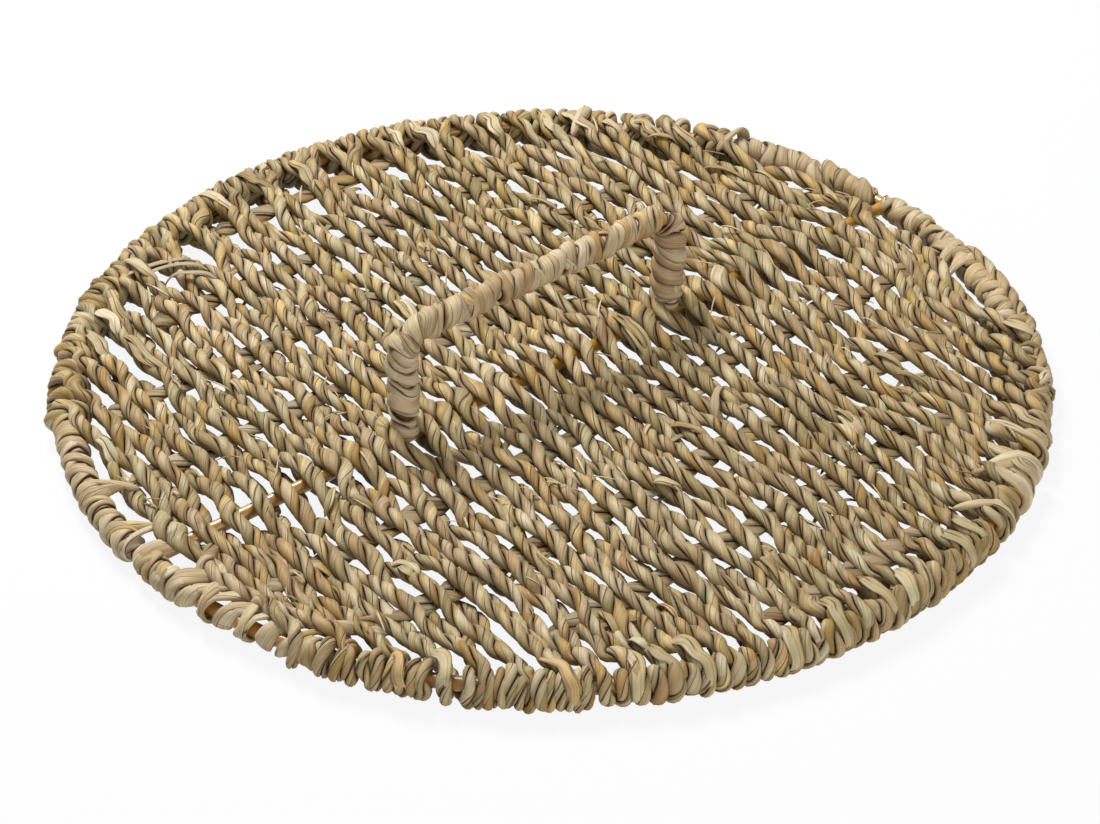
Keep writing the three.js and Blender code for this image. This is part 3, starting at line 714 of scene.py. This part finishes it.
class LID_OT_cross_cords(bpy.types.Operator):
    """Make the cross cords, broad two-ply bundles between the layers of long cords"""
    bl_idname = "lid.cross_cords"
    bl_label = "Cross cords"

    pitch = 27              # length of cord in one full twist
    blade_spacing = 28      # length of cord for each loose blade beside it
    # Long loose blades over the weave, beside the cross cord with this number: place, length, direction
    # and bow
    loose_blades = {3: [(-78, 140, 40, -8, 2), (-73, 134, 30, -20, 3), (-69, 127, 22, -42, 1)],
                    -1: [(30, -58, 22, 40, 2)]}

    def execute(self, context):
        weave = Weave()
        # Painted shade: light=0.75 darkens the whole bundle, which lies under the long cords
        grass = seagrass("shaded_seagrass_bundle", light=0.75, blush=0.15, blade_mm=3.5)
        lines = [line for line in range(-2 * weave.cross_pairs, 2 * weave.cross_pairs + 1) if line]
        for number, line in enumerate(lines):
            rng = np.random.default_rng(300 + number)
            half = weave.cross_half(line)
            s = np.linspace(0, 2 * half, int(2 * half / 1.6))
            points = np.stack([s - half, line * weave.cross_spacing + 0.5 * waves(rng, 50)(s), 0 * s], 1)
            normals = np.tile([0.0, 0.0, 1.0], (len(s), 1))
            squeeze = (0 * s + 1.65, 0 * s + 0.55)      # broad and flat
            strands = twist(points, normals, s, rng, weave.cord_radius, squeeze, weave.mid_height,
                            self.pitch, 70 + number)
            for k in range(int(2 * half / self.blade_spacing)):
                y = line * weave.cross_spacing + rng.choice([-1, 1]) * rng.uniform(4, 15)
                strands.append(stray(rng.uniform(10 - half, half - 10), y, rng.uniform(14, 30),
                                     rng.uniform(-22, 22), rng.uniform(2, 4),
                                     weave.mid_height + rng.uniform(-1, 1.5), rng.uniform(-2, 2),
                                     rng.uniform(0, 0.25), 90 * number + k))
            strands += [stray(x, y, span, way, 3.0, weave.mid_height + 5.2, bow, 0.2, 700 + number)
                        for x, y, span, way, bow in self.loose_blades.get(line, [])]
            name = f"cross_cord_{number + 1:02d}"
            finish_piece("bundled_" + name, roll_up("bundled_" + name, strands), grass, name)
        return {"FINISHED"}


def wind(axis, begin, end, pitch, start, rng, width, thickness, spacing, lift, number, bare=(), loose=0.2,
         rise=0.8):
    """A flat strand wound round a wire, each turn lapping over the next one. axis(s) gives the wire's middle
    and two directions square to it at distances s. A pitch below 0 winds the other way round, lift is how
    far the strand lies off the wire, it thins out at the distances in bare, and loose is how unevenly it
    lies. rise is the share of its thickness by which it climbs over the next turn, or over the last one if
    rise is below 0."""
    # Its section runs from edge to edge on top and back underneath
    flat = np.radians([0, 14, 30, 55, 90, 125, 150, 166, 180, 200, 235, 270, 305, 340, 360])
    turns = (end - begin) / abs(pitch)
    turn = np.linspace(0, turns, int(turns * 26) + 2)
    narrow = 0.3 + 0.7 * smooth(0, 0.4, np.minimum(turn, turns - turn))
    # Where it lies along the wire and how broad it is there
    s = begin + abs(pitch) * turn + loose * spacing * (waves(rng, 1.6)(turn) + 0.5 * waves(rng, 0.5)(turn))
    breadth = width / 2 * narrow * (1 + 1.2 * loose * waves(rng, 0.9)(turn))
    for spot in bare:
        breadth = breadth * (1 - 0.92 * np.exp(-((s - spot) / 2.4) ** 2))
    over = breadth[:, None] * np.cos(flat)
    at = s[:, None] + over
    inside = smooth(-1, spacing, np.minimum(at - begin, end - at))
    full = thickness * (0.25 + 0.75 * inside)
    # How far it stands off: the lap over its neighbour, and its own puffed and folded thickness
    lens = np.abs(np.sin(flat)) ** 0.8 * (1 + 0.14 * np.cos(4 * flat + 2.0 * waves(rng, 0.7)(turn)[:, None]))
    lap = full / spacing * (rise * over + abs(rise) * breadth[:, None]) * inside
    puff = 1 + 0.28 * waves(rng, 0.6)(turn)[:, None]
    radius = sizes()["wire_diameter"] / 2 + 0.1 + lift * inside
    radial = radius + np.where(np.sin(flat) > 0, lap + full * puff * lens, 0.3 * lap)
    middle, first, second = axis(at.ravel())
    angle = (start + math.copysign(2 * math.pi, pitch) * turn)[:, None] + 0 * over
    facing = np.cos(angle).ravel()[:, None] * first + np.sin(angle).ravel()[:, None] * second
    points = (middle + radial.ravel()[:, None] * facing).reshape(over.shape + (3,))
    points[..., 2] = np.maximum(points[..., 2], 0)
    points[:, -1] = points[:, 0]
    reach = 2 * math.pi * (np.mean(radius) + thickness) * turn
    lay = np.stack(np.broadcast_arrays(over * MAP_CM + 2.3 * number, reach[:, None] * MAP_CM), -1)
    # Painted shade: depth drops along both edges of the strand, where it tucks under the next turn and where
    # its raised edge would cast a shadow, so the material paints both edges dark
    edge = math.copysign(1, rise) * over / breadth[:, None]
    clear_of_edge_shade = smooth(-1.0, -0.6, edge) * (1 - smooth(0.8, 0.93, edge))
    tone = 0.22 + 0.05 * rng.uniform(-1, 1) + 0.1 * waves(rng, 0.8)(turn)[:, None] + 0 * over
    return {"points": points, "lay": lay, "depth": 0.55 + 0.45 * clear_of_edge_shade, "tone": tone}


class LID_OT_handle_wraps(bpy.types.Operator):
    """Wind flat strands round the handle's legs and grip"""
    bl_idname = "lid.handle_wraps"
    bl_label = "Handle wraps"

    def execute(self, context):
        z = sizes()
        grass = seagrass("flat_seagrass_on_handle", light=1.08, blush=0.6, blade_mm=4.0)
        points, normals, s = handle_path()
        across = frames(points, normals)[2]

        def axis(at):
            """The handle's wire at distances from its left foot, held at its two ends."""
            sideways = np.tile([0.0, 1.0, 0.0], (len(at), 1))
            return sampled(at, s, points), sideways, unit(sampled(at, s, across))

        leg = z["handle_rise"] - z["handle_bend"] - z["wire_diameter"] / 2 - FOOT_GAP
        bend = z["handle_bend"] * math.pi / 2
        glimpse = s[-1] - leg - bend * 0.7
        gap = [glimpse - 1.2, glimpse + 1.2]
        # Begin, end, bare spots, places where a strand crosses the others, lift and rise
        stretches = {
            "handle_wrap_left": (0.5, leg + bend * 0.6, [7.5], [8, 20], 0.3, -0.6),
            "handle_wrap_grip": (leg + bend * 0.2, s[-1] - leg - bend * 0.5, gap,
                                 [4, 22, 38, 55, 68, 84], 0.0, 0.4),
            "handle_wrap_right": (s[-1] - leg - bend * 0.55, s[-1] - 0.5, gap, [10, 24], 0.8, 0.6)}
        band, thickness, spacing = z["grip_band"], z["grip_thickness"], z["grip_spacing"]
        for number, (name, (begin, end, bare, crossings, lift, rise)) in enumerate(stretches.items()):
            rng = np.random.default_rng(500 + number)
            strands = [wind(axis, begin - 2, end + 2, -spacing, number, rng, band, 0.4, spacing, lift,
                            200 + number, bare, 0.05)]
            strands += [wind(axis, begin - k * spacing, end + spacing / 2, -2 * spacing, number, rng, band,
                             thickness, spacing, lift + 0.3, 210 + 2 * number + k, bare, 0.24, rise)
                        for k in range(2)]
            strands += [wind(axis, begin + at, begin + at + 14, 17, 2.2 + at, rng, 0.75 * band, 0.9, spacing,
                             lift + 0.5 * thickness, 220 + at) for at in crossings]
            finish_piece("flat_" + name, roll_up("flat_" + name, strands), grass, name)
        return {"FINISHED"}


class LID_OT_rim_wraps(bpy.types.Operator):
    """Wind flat strands round the sides of the hoop that the long cords leave bare"""
    bl_idname = "lid.rim_wraps"
    bl_label = "Rim wraps"

    def execute(self, context):
        z = sizes()
        grass = seagrass("flat_seagrass_on_hoop", light=1.05, blush=0.55, blade_mm=5.0)
        radius = z["hoop_radius"]

        def axis(at):
            """The hoop at distances round it from the bar's right end."""
            angle = at / radius
            outward = np.stack([np.cos(angle), np.sin(angle), 0 * angle], 1)
            return outward * radius + [0, 0, z["mid_height"]], np.tile([0.0, 0.0, 1.0], (len(at), 1)), outward

        def loop(degrees, lean, reach, rise, width, tone):
            """A flat strand that comes up over the hoop, so far off its middle, and runs in to the weave."""
            over, inwards = 25, 14      # rings over the hoop, and from there to the weave
            around = np.radians(np.linspace(-150, 90, over))
            out = np.concatenate([rise * np.cos(around), -np.linspace(0.6, reach, inwards)])
            sink = 0.3 * reach * np.linspace(0, 1, inwards) ** 2
            height = np.concatenate([rise * np.sin(around), rise + 0.3 - sink])
            ahead = [np.linspace(-3, 2, over), np.linspace(2, 2 + 0.7 * reach, inwards)]
            middle, up, outward = axis(math.radians(degrees) * radius + lean * np.concatenate(ahead))
            facing = np.concatenate([np.cos(around), np.zeros(inwards)])[:, None] * outward
            facing = facing + np.concatenate([np.sin(around), np.ones(inwards)])[:, None] * up
            roll = 0.7 * np.sin(np.linspace(0, 5, over + inwards) + degrees)
            facing = facing + roll[:, None] * np.cross(up, outward)
            path = middle + out[:, None] * outward + height[:, None] * up
            return strip(path, facing, width, 2.0, tone, int(degrees))

        def cord_along(begin, end, out, height, rng, number):
            """A twisted cord that runs along the hoop and dives inwards at both ends."""
            s = np.arange(math.radians(begin) * radius, math.radians(end) * radius, 1.25)
            middle, up, outward = axis(s)
            s = s - s[0]
            dive = 1 - smooth(0, 16, np.minimum(s, s[-1] - s))
            path = middle + (out - 12 * dive)[:, None] * outward + (height - 3 * dive)[:, None] * up
            squeeze = (0 * s + 1.0, 0 * s + 0.85)
            return twist(path, up + outward, s, rng, z["cord_radius"], squeeze, 0, z["twist_pitch"], number)

        # Arcs that are wound, in degrees, with the bare spots in them
        arcs = {"rim_wrap_right_back": [(1.8, 25, [6])], "rim_wrap_right_front": [(-31, 0.4, [])],
                "rim_wrap_left_back": [(150, 178.2, [170.4])],
                "rim_wrap_left_front": [(179.3, 187, []), (202.5, 207, [])]}
        # Loops to the nearest cord: degrees, lean, reach inwards and rise off the hoop's middle
        loops = {"rim_wrap_right_back": [(24, 0.4, 12, 7.4), (45, 0.5, 14, 7.6)],
                 "rim_wrap_right_front": [(-13, -1, 11, 3.5), (-16, -0.8, 12, 3.5), (-57.5, 1, 15, 6.8),
                                          (-61, -1, 14, 6.6), (-66, 1, 12, 6.8), (-70, -0.8, 12, 6.6)],
                 "rim_wrap_left_back": [(165, 0.5, 16, 3.5), (168.2, -0.5, 15, 3.5), (174.5, 0.4, 15, 3.5),
                                        (177.2, -0.4, 14, 3.5)],
                 "rim_wrap_left_front": [(179.9, 0, 17, 3.5), (180.7, 0.1, 15, 3.6), (185.4, 1, 13, 3.6),
                                         (188.2, 1, 12, 3.4), (190.6, 1, 13, 3.6), (190.9, -0.5, 9, 3.9),
                                         (193.7, 1, 11, 3.5), (196.3, 1, 13, 3.6), (196.5, -0.5, 9, 3.9),
                                         (199.2, 1, 12, 3.5), (201.8, 1, 11, 3.5)]}
        # Cords along the hoop: from and to in degrees, and how far out and up from its middle
        cords = {"rim_wrap_right_front": [(-50, -11, 4.2, 3.6)],
                 "rim_wrap_left_front": [(182, 210, -9.5, 2.6)]}
        for number, (name, stretches) in enumerate(arcs.items()):
            rng = np.random.default_rng(600 + number)
            strands = []
            even = name == "rim_wrap_right_back"        # both strands the same way round, turn beside turn
            finer, thick, lift, rise = (1, 0.95, 0.3, 1.25) if even else (0.75, 1.15, 0.5, 0.3)
            spacing, band = finer * z["rim_spacing"], finer * z["rim_band"]
            for begin, end, gaps in stretches:
                begin, end = math.radians(begin) * radius, math.radians(end) * radius
                bare = np.radians(gaps) * radius
                strands.append(wind(axis, begin, end, spacing, 2.0, rng, band, 0.6 * z["rim_thickness"],
                                    spacing, 0, 240 + 4 * number, bare, 0.05))
                strands += [wind(axis, begin - k * spacing * even, end,
                                 2 * spacing * (1 if even else (-1) ** k), number + k * (not even), rng, band,
                                 thick * z["rim_thickness"], spacing, lift * z["rim_thickness"],
                                 241 + 4 * number + k, bare, rise=rise) for k in range(2)]
            strands += [loop(*each, rng.uniform(4.4, 6.4), rng.uniform(0.12, 0.32)) for each in loops[name]]
            for begin, end, out, height in cords.get(name, []):
                strands += cord_along(begin, end, out, height, rng, 80 + number)
            finish_piece("flat_" + name, roll_up("flat_" + name, strands), grass, name)
        return {"FINISHED"}


def backdrop_seen(tree):
    """1 for the rays that see the background straight on, in gloss or through glass."""
    path = add(tree, "LightPath")
    seen = path["Is Camera Ray"]
    for ray in ("Is Glossy Ray", "Is Transmission Ray"):
        seen = add(tree, "Math", {0: seen, 1: path[ray]}, 0, operation="MAXIMUM")
    return seen


class LID_OT_stage(bpy.types.Operator):
    """Set the floor, the soft light and the camera"""
    bl_idname = "lid.stage"
    bl_label = "Stage"

    camera_azimuth = math.radians(-39.8)
    camera_elevation = math.radians(36.18)
    camera_distance = 5.288         # lid radii from the point looked at
    camera_nearer = 0.1522          # lid radii from the middle to the point looked at, towards the camera
    focal_share = 2700 / 1100       # focal length over the picture's width
    sensor_width = 36               # millimetres
    floor_half = 6                  # metres from the middle to the edge
    floor_drop = 0.2 * MM           # below the lid
    floor_white = 0.9               # share of plain white in the floor as it is seen
    fill = 0.125                    # light from all round
    softboxes = {"top_softbox": ((0.1, 0.7, 1.05), 0.55, 22.4),         # place and breadth in metres, watts
                 "front_softbox": ((-0.2, -1.28, 0.45), 1.2, 11.0)}

    def execute(self, context):
        scene = context.scene
        kept = scene.lid_sizes
        radius = kept.lid_diameter / 2
        scene.view_settings.view_transform = "Standard"

        bm = bmesh.new()
        bmesh.ops.create_grid(bm, x_segments=1, y_segments=1, size=self.floor_half)
        bmesh.ops.translate(bm, verts=bm.verts, vec=(0, 0, -self.floor_drop))
        mesh = mesh_of("floor", bm)
        floor = bpy.data.objects.new("floor", mesh)
        scene.collection.objects.link(floor)
        # Matt white studio paint: no gloss, and so bright that it reads as white
        paint, tree, shader = new_material("white_studio_floor")
        shader.inputs["Base Color"].default_value = scene.lid_colours.floor
        shader.inputs["Roughness"].default_value = 0.9
        glow = add(tree, "Emission", {"Color": grey(1.0), "Strength": 1.0}, "Emission")
        share = add(tree, "Math", {0: backdrop_seen(tree), 1: self.floor_white}, 0, operation="MULTIPLY")
        mix = add(tree, "MixShader", {0: share, 1: shader.outputs["BSDF"], 2: glow}, "Shader")
        tree.links.new(mix, tree.nodes["Material Output"].inputs["Surface"])
        mesh.materials.append(paint)

        world = bpy.data.worlds.new("studio")
        scene.world = world
        world.use_nodes = True
        tree = world.node_tree
        soft = tree.nodes["Background"]
        soft.inputs["Color"].default_value = grey(1.0)
        soft.inputs["Strength"].default_value = self.fill
        white = add(tree, "Background", {"Color": grey(1.0), "Strength": 1.0}, "Background")
        mix = add(tree, "MixShader", {0: backdrop_seen(tree), 1: soft.outputs["Background"], 2: white},
                  "Shader")
        tree.links.new(mix, tree.nodes["World Output"].inputs["Surface"])

        for name, (place, across, power) in self.softboxes.items():
            lamp = bpy.data.lights.new(name, "AREA")
            lamp.shape = "DISK"
            lamp.size = across
            lamp.energy = power
            holder = bpy.data.objects.new(name, lamp)
            holder.location = place
            holder.rotation_euler = (-Vector(place)).to_track_quat("-Z", "Y").to_euler()
            scene.collection.objects.link(holder)

        towards = Vector((math.sin(self.camera_azimuth), -math.cos(self.camera_azimuth), 0))
        target = towards * self.camera_nearer * radius + Vector((0, 0, kept.mid_height))
        reach = self.camera_distance * radius
        place = target + reach * (towards * math.cos(self.camera_elevation)
                                  + Vector((0, 0, math.sin(self.camera_elevation))))
        lens = bpy.data.cameras.new("camera")
        lens.sensor_fit = "HORIZONTAL"
        lens.sensor_width = self.sensor_width
        lens.lens = self.sensor_width * self.focal_share
        camera = bpy.data.objects.new("camera", lens)
        camera.location = place
        camera.rotation_euler = (target - place).to_track_quat("-Z", "Y").to_euler()
        scene.collection.objects.link(camera)
        scene.camera = camera
        return {"FINISHED"}


class LID_PT_panel(bpy.types.Panel):
    """The lid's sizes, colours and steps"""
    bl_label = "Seagrass lid"
    bl_idname = "LID_PT_panel"
    bl_space_type = "VIEW_3D"
    bl_region_type = "UI"
    bl_category = "Seagrass lid"

    def draw(self, context):
        for group in (context.scene.lid_sizes, context.scene.lid_colours):
            column = self.layout.column()
            for name in type(group).__annotations__:
                column.prop(group, name)
        for operator in OPERATORS:
            self.layout.operator(operator.bl_idname)


OPERATORS = [LID_OT_stage, LID_OT_wire_frame, LID_OT_long_cords, LID_OT_cross_cords, LID_OT_handle_wraps,
             LID_OT_rim_wraps]
CLASSES = [LidSizes, LidColours] + OPERATORS + [LID_PT_panel]


def register():
    for kind in CLASSES:
        bpy.utils.register_class(kind)
    bpy.types.Scene.lid_sizes = bpy.props.PointerProperty(type=LidSizes)
    bpy.types.Scene.lid_colours = bpy.props.PointerProperty(type=LidColours)


def unregister():
    del bpy.types.Scene.lid_sizes
    del bpy.types.Scene.lid_colours
    for kind in reversed(CLASSES):
        bpy.utils.unregister_class(kind)


def main():
    register()
    bpy.ops.lid.stage()
    bpy.ops.lid.wire_frame()
    bpy.ops.lid.long_cords()
    bpy.ops.lid.cross_cords()
    bpy.ops.lid.handle_wraps()
    bpy.ops.lid.rim_wraps()


if __name__ == "__main__":
    main()
